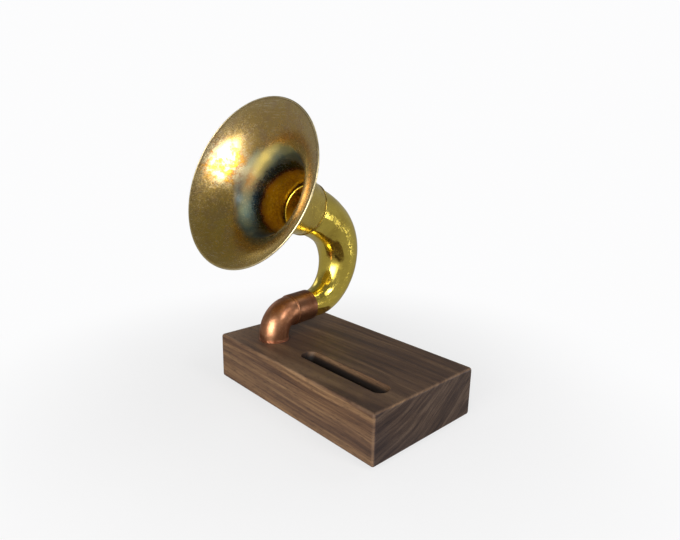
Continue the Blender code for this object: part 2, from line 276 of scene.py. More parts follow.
# ---------------------------------------------------------------- material helpers
def set_stops(band, stops):
    """Gives a colour ramp its (position, colour) stops, in rising order. A plain number is a grey."""
    while len(band.elements) < len(stops):
        band.elements.new(1.0)
    for element, (position, colour) in zip(band.elements, stops):
        element.position = position
    for element, (position, colour) in zip(band.elements, stops):
        if not isinstance(colour, tuple):
            colour = (colour, colour, colour)
        element.color = (*colour, 1.0)


class Look:
    """A material and short ways to add its nodes. The Principled sockets named in constants hold
    one value all over the surface. Its place is the attribute "local", or else the object's own
    coordinates."""

    def __init__(self, name, local=True, **constants):
        self.material = bpy.data.materials.new(name)
        self.material.use_nodes = True
        self.tree = self.material.node_tree
        self.shader = self.tree.nodes["Principled BSDF"]
        for socket, value in constants.items():
            self.shader.inputs[socket.replace("_", " ")].default_value = value
        if local:
            self.place = self.attribute("local")
        else:
            self.place = self.add("ShaderNodeTexCoord").outputs["Object"]

    def add(self, kind, inputs=None, **settings):
        node = self.tree.nodes.new(kind)
        for key, value in settings.items():
            setattr(node, key, value)
        for key, value in (inputs or {}).items():
            self.feed(node.inputs[key], value)
        return node

    def feed(self, socket, value):
        if isinstance(value, bpy.types.NodeSocket):
            self.tree.links.new(value, socket)
        else:
            socket.default_value = value

    def finish(self, colour, roughness, height=None, strength=0.3, distance=0.0002):
        """Joins the colour, roughness and bump to the shader, and gives the material."""
        self.feed(self.shader.inputs["Base Color"], colour)
        self.feed(self.shader.inputs["Roughness"], roughness)
        if height is not None:
            settings = {"Height": height, "Strength": strength, "Distance": distance}
            bump = self.add("ShaderNodeBump", settings)
            self.feed(self.shader.inputs["Normal"], bump.outputs["Normal"])
        return self.material

    def calc(self, operation, first, second=0.0, clamp=False):
        node = self.add("ShaderNodeMath", {0: first, 1: second}, operation=operation, use_clamp=clamp)
        return node.outputs[0]

    def vector(self, operation, first, second):
        return self.add("ShaderNodeVectorMath", {0: first, 1: second}, operation=operation).outputs[0]

    def scaled(self, place, scale, shift=(0, 0, 0), turn=(0, 0, 0)):
        inputs = {"Vector": place, "Location": shift, "Rotation": turn, "Scale": scale}
        return self.add("ShaderNodeMapping", inputs).outputs[0]

    def noise(self, place, detail=4.0, roughness=0.55, distortion=0.0, output="Fac"):
        inputs = {
            "Vector": place,
            "Scale": 1.0,
            "Detail": detail,
            "Roughness": roughness,
            "Distortion": distortion,
        }
        return self.add("ShaderNodeTexNoise", inputs).outputs[output]

    def cloud(self, scale, shift=(0, 0, 0), detail=4.0, roughness=0.55):
        """Noise whose features are about 1 / scale metres each way."""
        return self.noise(self.scaled(self.place, (scale, scale, scale), shift), detail, roughness)

    def ramp(self, factor, *stops):
        node = self.add("ShaderNodeValToRGB", {"Fac": factor})
        set_stops(node.color_ramp, stops)
        return node.outputs["Color"]

    def step(self, factor, low, high, bottom=0.0, top=1.0):
        """A smooth change from bottom at low to top at high."""
        inputs = {"Value": factor, 1: low, 2: high, 3: bottom, 4: top}
        node = self.add("ShaderNodeMapRange", inputs, interpolation_type="SMOOTHSTEP")
        return node.outputs["Result"]

    def mix(self, factor, first, second, blend="MIX"):
        node = self.add("ShaderNodeMix", data_type="RGBA", blend_type=blend)
        for socket, value in ((0, factor), (6, first), (7, second)):
            if isinstance(value, tuple):
                value = (*value, 1.0)
            self.feed(node.inputs[socket], value)
        return node.outputs[2]

    def axes(self, place):
        return self.add("ShaderNodeSeparateXYZ", {0: place}).outputs

    def attribute(self, name):
        return self.add("ShaderNodeAttribute", attribute_name=name).outputs["Vector"]

    def scratches(self, place, turn, length=30.0, width=1600.0, low=0.66, high=0.72):
        """Thin broken lines, longest along the first axis once place is turned."""
        fine = self.noise(self.scaled(place, (length, width, width), turn=turn), detail=1.0)
        return self.step(fine, low, high)


# ---------------------------------------------------------------- walnut
PITH_BEFORE = 0.093
PITH_ABOVE = 0.182
RING_SPACING = 0.0110
RING_WANDER = 0.030
RING_UNEVEN = 4.5
RING_TONES = (
    (0.0, 0.50),
    (0.20, 0.80),
    (0.45, 0.62),
    (0.70, 0.34),
    (0.86, 0.08),
    (0.95, 0.24),
    (1.0, 0.50),
)
RING_SHARE = 0.41
FIBRE_SHARE = 1.12
STREAK_SHARE = 1.42
TONE_SHIFT = 0.955
WALNUT_TONES = (
    (0.10, (0.044, 0.020, 0.011)),
    (0.34, (0.096, 0.047, 0.024)),
    (0.58, (0.166, 0.088, 0.042)),
    (0.86, (0.280, 0.162, 0.078)),
)
# A grey for the wood's grey clouds, also used for the painted shade on the top face.
WALNUT_GREY = (0.074, 0.048, 0.038)
# Painted shade on the top face: a darkening tint, and where along X it fades in.
TOP_SHADE_TINT = (0.68, 0.70, 0.78)
TOP_SHADE_FROM = (-0.100, -0.010)
# Painted sheen on the left end of the top face: its colour, and where along X it fades out.
TOP_LEFT_SHEEN = (0.250, 0.165, 0.108)
TOP_LEFT_SHEEN_UP_TO = (-0.104, -0.025)
PORE = (0.026, 0.015, 0.010)
WORN_WOOD = (0.225, 0.140, 0.085)
WORN_REACH = 0.0032
END_GRAIN_TINT = (0.50, 0.57, 0.84)
# Painted shade for the slot and the socket.
HOLE_PAINTED_SHADE = (0.008, 0.005, 0.004)


def walnut_figure(look):
    """How pale the wood is, and its fibres. Rings round a pith above and before the block are drawn
    out along X. Streaks and fibres follow them, so they are arcs on the end grain and long streaks on
    the other faces."""
    wander = look.scaled(look.place, (3.0, 8, 8), (0.3, 0.1, 0.7))
    wander = look.noise(wander, 2.0, 0.5, output="Color")
    wander = look.vector("SUBTRACT", wander, (0.5, 0.5, 0.5))
    wander = look.vector("MULTIPLY", wander, (0, RING_WANDER, RING_WANDER))
    bent = look.vector("ADD", look.place, wander)
    pith = (0, block_middle.y - PITH_BEFORE, block_middle.z + PITH_ABOVE)
    arm = look.vector("MULTIPLY", look.vector("SUBTRACT", bent, pith), (0, 1, 1))
    radius = look.add("ShaderNodeVectorMath", {0: arm}, operation="LENGTH").outputs["Value"]
    x, y, z = look.axes(look.place)
    round_pith = look.calc("ADD", y, look.calc("MULTIPLY", z, 0.5))

    def along_rings(across, length, around, detail, shift):
        parts = {
            "X": look.calc("MULTIPLY", radius, across),
            "Y": look.calc("MULTIPLY", x, length),
            "Z": look.calc("ADD", look.calc("MULTIPLY", round_pith, around), shift),
        }
        place = look.add("ShaderNodeCombineXYZ", parts).outputs[0]
        return look.noise(place, detail, 0.62)

    uneven = look.calc("MULTIPLY", along_rings(60, 2.0, 7, 3.0, 0.2), RING_UNEVEN)
    phase = look.calc("ADD", look.calc("MULTIPLY", radius, 1 / RING_SPACING), uneven)
    tone = look.ramp(look.calc("FRACT", phase), *RING_TONES)
    fibres = along_rings(520, 14, 60, 5.0, 3.1)
    streaks = along_rings(230, 4.0, 9, 4.0, 7.7)
    tone = look.calc("MULTIPLY", tone, RING_SHARE)
    tone = look.calc("ADD", tone, look.calc("MULTIPLY", fibres, FIBRE_SHARE))
    tone = look.calc("ADD", tone, look.calc("MULTIPLY", streaks, STREAK_SHARE))
    return look.calc("SUBTRACT", tone, TONE_SHIFT), fibres


def block_edges(look, reach):
    """Wear, strongest along the block's edges, and the depth below its nearest outer face.
    An edge is where the second smallest distance to the three pairs of faces is small."""
    half = (block_high - block_low) / 2
    nearest = []
    for axis, socket in enumerate(look.axes(look.vector("SUBTRACT", look.place, block_middle))):
        nearest.append(look.calc("SUBTRACT", half[axis], look.calc("ABSOLUTE", socket)))
    low = look.calc("MINIMUM", nearest[0], nearest[1])
    high = look.calc("MAXIMUM", nearest[0], nearest[1])
    second = look.calc("MAXIMUM", low, look.calc("MINIMUM", high, nearest[2]))
    rubbed = look.cloud(70, detail=3.0)
    edge = look.step(second, 0.0, reach, 1.0, 0.0)
    worn = look.calc("MULTIPLY", edge, look.step(rubbed, 0.35, 0.65, 0.08, 0.55))
    return worn, look.calc("MINIMUM", low, nearest[2])


def walnut_look():
    """Oiled walnut: greyer in clouds, with painted shade that greys and darkens the top and a painted
    sheen at the left end of the top, cooler and darker on the end grain, painted shade in its holes,
    and rubbed pale along its edges."""
    look = Look("walnut_oiled", IOR=1.40)
    tone, fibres = walnut_figure(look)
    normal = look.axes(look.add("ShaderNodeTexCoord").outputs["Normal"])
    end_grain = look.step(look.calc("ABSOLUTE", normal[0]), 0.75, 0.95)
    top = look.step(normal[2], 0.75, 0.95)
    x = look.axes(look.place)[0]
    colour = look.ramp(tone, *WALNUT_TONES)
    cloud = look.noise(look.scaled(look.place, (4, 24, 24), (0.9, 0.4, 0.1)), 2.0)
    cloud = look.step(cloud, 0.44, 0.68, 0.0, 0.30)
    # Painted shade: the top face is greyed and darkened, except at its left end.
    top_shade = look.calc("MULTIPLY", top, look.step(x, *TOP_SHADE_FROM))
    grey = look.calc("ADD", cloud, look.calc("MULTIPLY", top_shade, 0.26))
    colour = look.mix(grey, colour, WALNUT_GREY)
    colour = look.mix(top_shade, colour, TOP_SHADE_TINT, "MULTIPLY")
    # Painted sheen: the left end of the top face is painted paler.
    top_left_sheen = look.calc("MULTIPLY", top, look.step(x, *TOP_LEFT_SHEEN_UP_TO, 0.80, 0.0))
    colour = look.mix(top_left_sheen, colour, TOP_LEFT_SHEEN)
    pores = look.noise(look.scaled(look.place, (150, 2300, 2300), (0.5, 0.5, 0.5)), 2.0, 0.5)
    pores = look.step(pores, 0.57, 0.66)
    colour = look.mix(look.calc("MULTIPLY", pores, 0.70), colour, PORE)
    worn, depth = block_edges(look, WORN_REACH)
    colour = look.mix(worn, colour, WORN_WOOD)
    colour = look.mix(end_grain, colour, END_GRAIN_TINT, "MULTIPLY")
    # Painted shade: the deeper a face lies below the block's outer faces, as in the slot and socket,
    # the nearer black it is.
    colour = look.mix(look.step(depth, 0.0004, 0.0060, 0.0, 0.95), colour, HOLE_PAINTED_SHADE)
    rough = look.calc("ADD", look.calc("MULTIPLY", fibres, 0.25), 0.42)
    height = look.calc("SUBTRACT", look.calc("MULTIPLY", fibres, 0.5), pores)
    return look.finish(colour, rough, height, strength=0.40, distance=0.00012)


# ---------------------------------------------------------------- metals
COPPER_TONES = (
    (0.30, (0.25, 0.094, 0.043)),
    (0.48, (0.43, 0.188, 0.092)),
    (0.70, (0.60, 0.310, 0.170)),
)
CUP_TINT = (0.42, 0.38, 0.37)
SHOULDER_PAINTED_SHADE = (0.13, 0.045, 0.025)
FOOT_RED = (0.42, 0.150, 0.085)
COPPER_SCRATCH = (0.82, 0.50, 0.38)


def copper_look():
    """Handled copper: browner in the cup, with a painted shade line at its shoulder, redder at the
    wood.
    """
    look = Look("copper_handled", Metallic=1.0)
    broad = look.cloud(42, (0.4, 0.1, 0.2), 4.0, 0.6)
    fine = look.cloud(420, (0.7, 0.2, 0.3), 4.0, 0.6)
    tone = look.calc("ADD", look.calc("MULTIPLY", broad, 0.8), look.calc("MULTIPLY", fine, 0.2))
    colour = look.ramp(tone, *COPPER_TONES)
    place = look.axes(look.place)
    y, z = place[1], place[2]
    shoulder = ELBOW_BEND + SHOULDER_START
    cup = look.step(y, shoulder, shoulder + SHOULDER_LENGTH)
    colour = look.mix(look.calc("MULTIPLY", cup, 0.85), colour, CUP_TINT, "MULTIPLY")
    from_shoulder = look.calc("ABSOLUTE", look.calc("SUBTRACT", y, shoulder))
    # Painted shade: a dark line where the pipe widens into the cup.
    colour = look.mix(look.step(from_shoulder, 0.0, 0.0007, 0.75, 0.0), colour, SHOULDER_PAINTED_SHADE)
    colour = look.mix(look.step(z, 0.0004, 0.0030, 0.7, 0.0), colour, FOOT_RED)
    rings = look.noise(look.scaled(look.attribute("straight"), (3, 3, 2600)), 2.0)
    rings = look.calc("MULTIPLY", look.step(rings, 0.56, 0.66), 0.35)
    lines = look.scratches(look.place, (0.3, 0.9, 0.5))
    lines = look.calc("ADD", lines, look.scratches(look.place, (1.3, 0.2, 1.9), 24.0, 1300.0))
    lines = look.calc("ADD", lines, rings, clamp=True)
    colour = look.mix(look.calc("MULTIPLY", lines, 0.35), colour, COPPER_SCRATCH)
    rough = look.step(broad, 0.35, 0.70, 0.36, 0.22)
    rough = look.calc("ADD", rough, look.calc("MULTIPLY", fine, 0.14))
    rough = look.calc("ADD", rough, look.calc("MULTIPLY", cup, 0.07))
    dents = look.cloud(110, detail=2.0)
    height = look.calc("MULTIPLY", dents, 0.4)
    height = look.calc("SUBTRACT", height, look.calc("MULTIPLY", lines, 0.12))
    return look.finish(colour, rough, height, strength=0.20, distance=0.00020)


def brass_look(name, shade, tarnish, smooth, relief=0.00030, place_is_straight=False):
    """Polished brass with finger marks, light tarnish, draw lines and small dents."""
    look = Look(name, Metallic=1.0)
    along = look.attribute("straight") if place_is_straight else look.place
    broad = look.cloud(30, (0.2, 0.6, 0.1), 4.0, 0.6)
    marks = look.cloud(160, (0.2, 0.3, 0.9), 5.0, 0.65)
    colour = look.mix(look.step(broad, 0.44, 0.72, 0.0, 0.85), shade, tarnish)
    colour = look.mix(look.step(marks, 0.55, 0.74, 0.0, 0.5), colour, tarnish)
    draw = look.noise(look.scaled(along, (620, 620, 6)), 3.0, 0.6)
    lines = look.scratches(look.place, (0.7, 0.2, 1.1), 26.0, 1500.0, 0.68, 0.73)
    rough = look.step(marks, 0.40, 0.70, smooth, smooth + 0.16)
    rough = look.calc("ADD", rough, look.calc("MULTIPLY", lines, 0.12))
    dents = look.cloud(95, (0.8, 0.8, 0.1), 2.0)
    height = look.calc("ADD", dents, look.calc("MULTIPLY", draw, 0.05))
    height = look.calc("SUBTRACT", height, look.calc("MULTIPLY", lines, 0.06))
    return look.finish(colour, rough, height, strength=0.25, distance=relief)


# Colours by depth, as a share of the bell's: gold, straw, grey, blue, purple, amber, then painted
# shade at the neck, by the throat ring.
BELL_ZONES_AND_NECK_SHADE = (
    (0.00, (0.62, 0.45, 0.17)),
    (0.05, (0.62, 0.405, 0.100)),
    (0.26, (0.60, 0.375, 0.064)),
    (0.30, (0.31, 0.260, 0.150)),
    (0.34, (0.160, 0.210, 0.225)),
    (0.44, (0.155, 0.215, 0.250)),
    (0.53, (0.115, 0.175, 0.225)),
    (0.60, (0.060, 0.095, 0.135)),
    (0.635, (0.150, 0.064, 0.060)),
    (0.67, (0.44, 0.250, 0.022)),
    (0.76, (0.74, 0.510, 0.030)),
    (0.90, (0.78, 0.540, 0.035)),
    # Painted shade at the neck, beside the throat ring.
    (0.94, (0.13, 0.050, 0.010)),
)
# Where its zones begin and end, as shares of the bell's depth.
OUTER_END = (0.24, 0.33)
RING_START = (0.26, 0.33)
RING_END = (0.46, 0.58)
AMBER_START = (0.62, 0.70)
TARNISH_PINK = (0.44, 0.270, 0.180)
FILM_BELOW = (0.80, 0.520, 0.060)
FILM_ABOVE = (0.50, 0.380, 0.200)
# Painted patches of glare, highlight and reflection: the centre, two distances from it, and how
# strong it is within the first. It is gone at the second.
PAINTED_GLARE_SPOT = ((-0.0550, 0.0190, 0.0), 0.011, 0.030, 0.90)
RING_PAINTED_HIGHLIGHT_SPOT = ((-0.0270, 0.0290, 0.0), 0.006, 0.024, 0.75)
RING_PAINTED_REFLECTION_SPOT = ((0.0060, 0.0400, 0.0), 0.006, 0.026, 0.65)
# Pale grey-white, a painted highlight, then straw to orange heat tint.
GLARE_AND_TINT_TONES = (
    (0.47, (0.60, 0.475, 0.260)),
    (0.53, (0.46, 0.255, 0.110)),
    (0.58, (0.55, 0.225, 0.012)),
    (0.68, (0.70, 0.380, 0.012)),
)
BLUSH = (0.34, 0.31, 0.180)
# The colours of the ring's painted highlight and painted reflection.
RING_PAINTED_HIGHLIGHT = (0.52, 0.54, 0.340)
RING_PAINTED_REFLECTION = (0.40, 0.43, 0.270)
HAZE = (0.62, 0.54, 0.40)
BELL_SCRATCH = (0.84, 0.76, 0.60)
AMBER = (0.46, 0.27, 0.012)


def near_spot(look, centre, inner, outer, most):
    """How near a point of the bell is to a spot, seen along the bell's axis: most inside the inner
    distance, and none beyond the outer one."""
    flat = look.vector("MULTIPLY", look.place, (1, 1, 0))
    away = look.add("ShaderNodeVectorMath", {0: flat, 1: centre}, operation="DISTANCE")
    return look.step(away.outputs["Value"], inner, outer, most, 0.0)


def bell_share(look, broad, cloud):
    """How deep in the bell a point is, from 0 at its mouth to 1 at its neck, with ragged levels."""
    z = look.axes(look.place)[2]
    uneven = look.calc("MULTIPLY", look.calc("SUBTRACT", broad, 0.5), 0.012)
    ragged = look.calc("MULTIPLY", look.calc("SUBTRACT", cloud, 0.5), 0.004)
    depth = look.calc("ADD", look.calc("MULTIPLY", z, -1.0), look.calc("ADD", uneven, ragged))
    return look.calc("DIVIDE", depth, BELL_DEPTH)


def bell_tint(look, share, outer, ring, broad, cloud):
    """The heat tint's colours, with tarnish in the outer zone, a painted glare of pale grey-white
    among straw and orange tint patches, and a painted highlight and a painted reflection in the ring.
    """
    colour = look.ramp(share, *BELL_ZONES_AND_NECK_SHADE)
    pink = look.calc("MULTIPLY", look.step(cloud, 0.46, 0.64, 0.0, 0.45), outer)
    colour = look.mix(pink, colour, TARNISH_PINK)
    y = look.axes(look.place)[1]
    film = look.mix(look.step(y, -0.060, 0.040), FILM_BELOW, FILM_ABOVE)
    colour = look.mix(look.calc("MULTIPLY", outer, 0.35), colour, film)
    blotch = look.cloud(95, (0.2, 0.5, 0.3), 4.0, 0.6)
    # Where the key light's glare falls: a painted pale highlight among straw and orange tint patches.
    straw = look.ramp(blotch, *GLARE_AND_TINT_TONES)
    colour = look.mix(near_spot(look, *PAINTED_GLARE_SPOT), colour, straw)
    blush = look.calc("MULTIPLY", look.step(broad, 0.48, 0.62, 0.0, 0.25), ring)
    colour = look.mix(blush, colour, BLUSH)
    # A painted highlight and a painted reflection in the upper part of the ring.
    ring_painted_highlight = look.calc("MULTIPLY", near_spot(look, *RING_PAINTED_HIGHLIGHT_SPOT), ring)
    colour = look.mix(ring_painted_highlight, colour, RING_PAINTED_HIGHLIGHT)
    ring_painted_reflection = look.calc("MULTIPLY", near_spot(look, *RING_PAINTED_REFLECTION_SPOT), ring)
    return look.mix(ring_painted_reflection, colour, RING_PAINTED_REFLECTION)


def bell_inside_look():
    """Spun brass, heat-tinted in a ring: tarnished gold outside, blue and grey, then deep amber, with
    painted shade at the neck and the painted glare, highlight and reflection of bell_tint.
    """
    look = Look("brass_heat_tinted", Metallic=1.0)
    broad = look.cloud(26, (0.3, 0.3, 0.8), 4.0, 0.6)
    cloud = look.cloud(75, (0.5, 0.1, 0.4), 5.0, 0.66)
    fine = look.cloud(420, (0.1, 0.9, 0.6), 4.0, 0.6)
    share = bell_share(look, broad, cloud)
    outer = look.step(share, *OUTER_END, 1.0, 0.0)
    ring = look.step(share, *RING_START)
    ring = look.calc("MULTIPLY", ring, look.step(share, *RING_END, 1.0, 0.0))
    colour = bell_tint(look, share, outer, ring, broad, cloud)
    haze = look.calc("MULTIPLY", look.step(fine, 0.46, 0.72, 0.0, 0.12), outer)
    colour = look.mix(haze, colour, HAZE)
    spun = look.noise(look.scaled(look.place, (2, 2, 1500)), 3.0, 0.6)
    lines = look.scratches(look.place, (0.4, 0.1, 0.8), 34.0, 1500.0, 0.64, 0.71)
    more_lines = look.scratches(look.place, (0.2, 0.7, 2.3), 28.0, 1200.0, 0.65, 0.72)
    lines = look.calc("ADD", lines, more_lines, clamp=True)
    colour = look.mix(look.calc("MULTIPLY", lines, 0.40), colour, BELL_SCRATCH)
    amber = look.step(share, *AMBER_START)
    amber = look.calc("MULTIPLY", amber, look.step(fine, 0.38, 0.62, 0.75, 0.0))
    colour = look.mix(amber, colour, AMBER)
    speckle = look.cloud(240, (0.7, 0.4, 0.2), 4.0, 0.65)
    rough = look.step(speckle, 0.36, 0.66, 0.19, 0.25)
    rough = look.calc("ADD", rough, look.calc("MULTIPLY", spun, 0.06))
    rough = look.calc("ADD", rough, look.calc("MULTIPLY", lines, 0.08))
    rough = look.calc("ADD", rough, look.calc("MULTIPLY", ring, 0.07))
    rough = look.calc("ADD", rough, look.step(share, *AMBER_START, 0.0, 0.10))
    dents = look.cloud(55, (0.8, 0.2, 0.1), 2.0)
    dents = look.calc("MULTIPLY", dents, look.step(share, 0.50, 0.66, 1.0, 0.3))
    height = look.calc("MULTIPLY", dents, 1.2)
    height = look.calc("ADD", height, look.calc("MULTIPLY", spun, 0.035))
    height = look.calc("SUBTRACT", height, look.calc("MULTIPLY", lines, 0.05))
    return look.finish(colour, rough, height, strength=0.25, distance=0.00035)


def inner_brass_look():
    """The unpolished inside of the horn tube, with a dull oxide film."""
    look = Look("brass_unpolished", Metallic=0.5)
    broad = look.cloud(60, (0.6, 0.6, 0.1), 5.0, 0.6)
    colour = look.ramp(broad, (0.35, (0.46, 0.28, 0.050)), (0.70, (0.80, 0.54, 0.100)))
    rough = look.step(broad, 0.35, 0.70, 0.50, 0.34)
    return look.finish(colour, rough, broad, strength=0.2, distance=0.00020)


def steel_look():
    """Zinc-plated steel, for the screws."""
    look = Look("screw_zinc", local=False, Metallic=1.0)
    broad = look.cloud(260, detail=4.0)
    fine = look.cloud(1500, (0.3, 0.1, 0.2), 3.0)
    colour = look.ramp(broad, (0.35, (0.40, 0.39, 0.36)), (0.70, (0.62, 0.62, 0.60)))
    rough = look.calc("ADD", look.calc("MULTIPLY", fine, 0.25), 0.22)
    return look.finish(colour, rough, fine, strength=0.25, distance=0.00008)


# ---------------------------------------------------------------- the rest of the materials
PLIES = 3
PLYWOOD_TONES = (
    (0.32, (0.33, 0.20, 0.105)),
    (0.52, (0.50, 0.34, 0.19)),
    (0.70, (0.62, 0.45, 0.27)),
)


def plywood_look(cover_low, cover_high):
    """Birch plywood: a pale face veneer with long grain, and a crossed middle ply at its edges."""
    look = Look("plywood_birch", local=False)
    grain = look.noise(look.scaled(look.place, (9, 260, 260), (0.2, 0.1, 0.6)), 5.0, 0.6)
    cross = look.noise(look.scaled(look.place, (260, 9, 260), (0.6, 0.1, 0.2)), 5.0, 0.6)
    flame = look.noise(look.scaled(look.place, (14, 48, 48)), 3.0, 0.5, 1.2)
    z = look.axes(look.place)[2]
    thickness = (cover_high.z - cover_low.z) / PLIES
    ply = look.calc("DIVIDE", look.calc("SUBTRACT", z, cover_low.z), thickness)
    in_middle = {0: ply, 1: PLIES / 2, 2: 0.5}
    middle = look.add("ShaderNodeMath", in_middle, operation="COMPARE").outputs[0]
    figure = look.mix(middle, grain, cross)
    tone = look.calc("ADD", look.calc("MULTIPLY", figure, 0.65), look.calc("MULTIPLY", flame, 0.35))
    colour = look.ramp(tone, *PLYWOOD_TONES)
    rough = look.calc("ADD", look.calc("MULTIPLY", grain, 0.2), 0.52)
    return look.finish(colour, rough, grain, strength=0.3, distance=0.00012)


def rubber_look():
    """Black rubber with pale dust and fine pits."""
    look = Look("rubber_black", Metallic=0.0)
    dust = look.cloud(240, detail=5.0, roughness=0.65)
    pits = look.cloud(1900, detail=3.0)
    colour = look.ramp(dust, (0.40, (0.014, 0.014, 0.015)), (0.75, (0.060, 0.056, 0.050)))
    rough = look.calc("ADD", look.calc("MULTIPLY", dust, 0.35), 0.45)
    return look.finish(colour, rough, pits, strength=0.35, distance=0.00010)


def felt_look():
    """Grey pressed felt."""
    look = Look("felt_grey", Sheen_Weight=0.4)
    fibre = look.noise(look.scaled(look.place, (900, 900, 300)), 6.0, 0.7, 1.5)
    colour = look.ramp(fibre, (0.35, (0.045, 0.044, 0.043)), (0.70, (0.175, 0.170, 0.160)))
    rough = look.calc("ADD", look.calc("MULTIPLY", fibre, 0.2), 0.75)
    return look.finish(colour, rough, fibre, strength=0.7, distance=0.00030)


CORK_TONES = (
    (0.20, (0.14, 0.070, 0.034)),
    (0.45, (0.38, 0.225, 0.115)),
    (0.80, (0.52, 0.34, 0.19)),
)


def cork_look():
    """Pressed cork: grains of several browns."""
    look = Look("cork_pressed")
    cells = look.add("ShaderNodeTexVoronoi", {"Vector": look.place, "Scale": 700.0})
    grains = look.axes(cells.outputs["Color"])[0]
    speck = look.cloud(500, detail=3.0)
    tone = look.calc("ADD", look.calc("MULTIPLY", grains, 0.5), look.calc("MULTIPLY", speck, 0.5))
    colour = look.ramp(tone, *CORK_TONES)
    rough = look.calc("ADD", look.calc("MULTIPLY", speck, 0.2), 0.68)
    return look.finish(colour, rough, cells.outputs["Distance"], strength=0.5, distance=0.00020)


# Each brass has its colour, its tarnish's colour and its lowest roughness.
POLISHED = ((0.90, 0.70, 0.125), (0.62, 0.45, 0.075), 0.12)
SATIN = ((0.84, 0.63, 0.120), (0.52, 0.37, 0.075), 0.17)
PALE = ((0.86, 0.72, 0.42), (0.62, 0.48, 0.24), 0.28)
GOLDEN = ((1.0, 0.80, 0.12), (0.90, 0.66, 0.07), 0.18)

walnut = walnut_look()
copper = copper_look()
bright_brass = brass_look("brass_polished", *POLISHED, place_is_straight=True)
bell_brass = brass_look("brass_outside", *SATIN)
bead_brass = brass_look("brass_bead", *PALE, relief=0.00005)
throat_brass = brass_look("brass_throat", *GOLDEN)
heat_tinted = bell_inside_look()
inner_brass = inner_brass_look()
steel = steel_look()
rubber = rubber_look()
felt = felt_look()
cork = cork_look()


# ---------------------------------------------------------------- the block
def is_hole_rim(edge):
    """True for a sharp edge in the block's top face, away from its outline."""
    for vert in edge.verts:
        x, y, z = vert.co
        margin = min(x - block_low.x, block_high.x - x, y - block_low.y, block_high.y - y)
        if abs(z - block_high.z) >= LEVEL or margin <= OUTLINE_MARGIN:
            return False
    return edge.calc_face_angle(0.0) > SHARP


def make_block():
    """The CAD block, with the rims of its slot and socket eased and its faces shaded smooth."""
    bm = bmesh.new()
    bm.from_mesh(frame["nodes"]["base_block"].data)
    bmesh.ops.remove_doubles(bm, verts=bm.verts, dist=2 * SAME_POINT)
    bmesh.ops.dissolve_limit(bm, angle_limit=math.radians(1), verts=bm.verts, edges=bm.edges)
    rims = [edge for edge in bm.edges if is_hole_rim(edge)]
    bmesh.ops.bevel(bm, geom=rims, offset=HOLE_RIM, segments=3, affect="EDGES", profile=0.5)
    stay = Matrix.Identity(4)
    piece = add_piece("walnut_block", bm, stay, [walnut], "base", ["base_block"])
    weights = piece.modifiers.new("even_shading", "WEIGHTED_NORMAL")
    weights.keep_sharp = True


def make_foot(node):
    """A round rubber pad with a rounded lower edge and a shallow dish underneath."""
    low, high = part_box(node)
    radius = (high.x - low.x) / 2
    height = high.z - low.z
    profile = [(0, height), (radius - FOOT_EASE, height), (radius, height - FOOT_EASE)]
    steps = 6
    for step in range(steps + 1):
        angle = UPRIGHT * step / steps
        out = radius - FOOT_ROUND + FOOT_ROUND * math.cos(angle)
        profile.append((out, FOOT_ROUND - FOOT_ROUND * math.sin(angle)))
    profile += [(radius * 0.55, 0.0), (radius * 0.50, FOOT_DISH), (0, FOOT_DISH)]
    place = Matrix.Translation(((low.x + high.x) / 2, (low.y + high.y) / 2, low.z))
    add_piece("pad_" + node, turned(profile, steps=64), place, [rubber], "base", [node])


def make_washer():
    """The felt ring under the elbow's leg, hidden in the socket."""
    low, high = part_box("thrust_washer")
    outer = PIPE_RADIUS
    inner = PIPE_RADIUS - ELBOW_WALL
    profile = [
        (outer - WASHER_EASE, high.z),
        (outer, high.z - WASHER_EASE),
        (outer, low.z + WASHER_EASE),
        (outer - WASHER_EASE, low.z),
        (inner + WASHER_EASE, low.z),
        (inner, low.z + WASHER_EASE),
        (inner, high.z - WASHER_EASE),
        (inner + WASHER_EASE, high.z),
    ]
    place = Matrix.Translation((swivel_place.x, swivel_place.y, 0))
    add_piece("felt_washer", turned(profile, steps=96), place, [felt], "base", ["thrust_washer"])


def make_seal():
    """The round rubber ring in a groove of the socket."""
    half = SEAL_THICKNESS / 2
    profile = []
    steps = 20
    for step in range(steps):
        angle = 2 * math.pi * step / steps
        profile.append((PIPE_RADIUS + GAP + half + half * math.cos(angle), half * math.sin(angle)))
    place = Matrix.Translation(swivel_place - Vector((0, 0, SEAL_DEPTH)))
    add_piece("seal_ring", turned(profile, steps=96), place, [rubber], "base", ["spigot_seal"])


# ---------------------------------------------------------------- the elbow
def elbow_leg(top):
    """Stations of the leg: plain in the socket, then a low collar and turned lines above the wood."""
    stations = []
    steps = 25
    for step in range(steps + 1):
        height = -SPIGOT_SUNK + (SPIGOT_SUNK - COLLAR_HEIGHT) * step / steps
        stations.append((Vector((0, 0, height)), UPRIGHT, PIPE_RADIUS, height))
    steps = 60
    for step in range(1, steps + 1):
        height = -COLLAR_HEIGHT + (top + COLLAR_HEIGHT) * step / steps
        collar = smooth_step((COLLAR_HEIGHT - height) / (COLLAR_HEIGHT / 2))
        radius = PIPE_RADIUS + COLLAR_REACH * collar
        for place in TURNED_LINES:
            radius -= TURNED_DEPTH * smooth_step(1 - abs(height - place) / TURNED_HALF_WIDTH)
        stations.append((Vector((0, 0, height)), UPRIGHT, radius, height))
    return stations


def elbow_bend(top):
    """Stations of the quarter bend between the leg and the cup."""
    stations = []
    steps = 60
    for step in range(1, steps + 1):
        angle = UPRIGHT * step / steps
        point = Vector((0, ELBOW_BEND * (1 - math.cos(angle)), top + ELBOW_BEND * math.sin(angle)))
        stations.append((point, UPRIGHT - angle, PIPE_RADIUS, top + ELBOW_BEND * angle))
    return stations


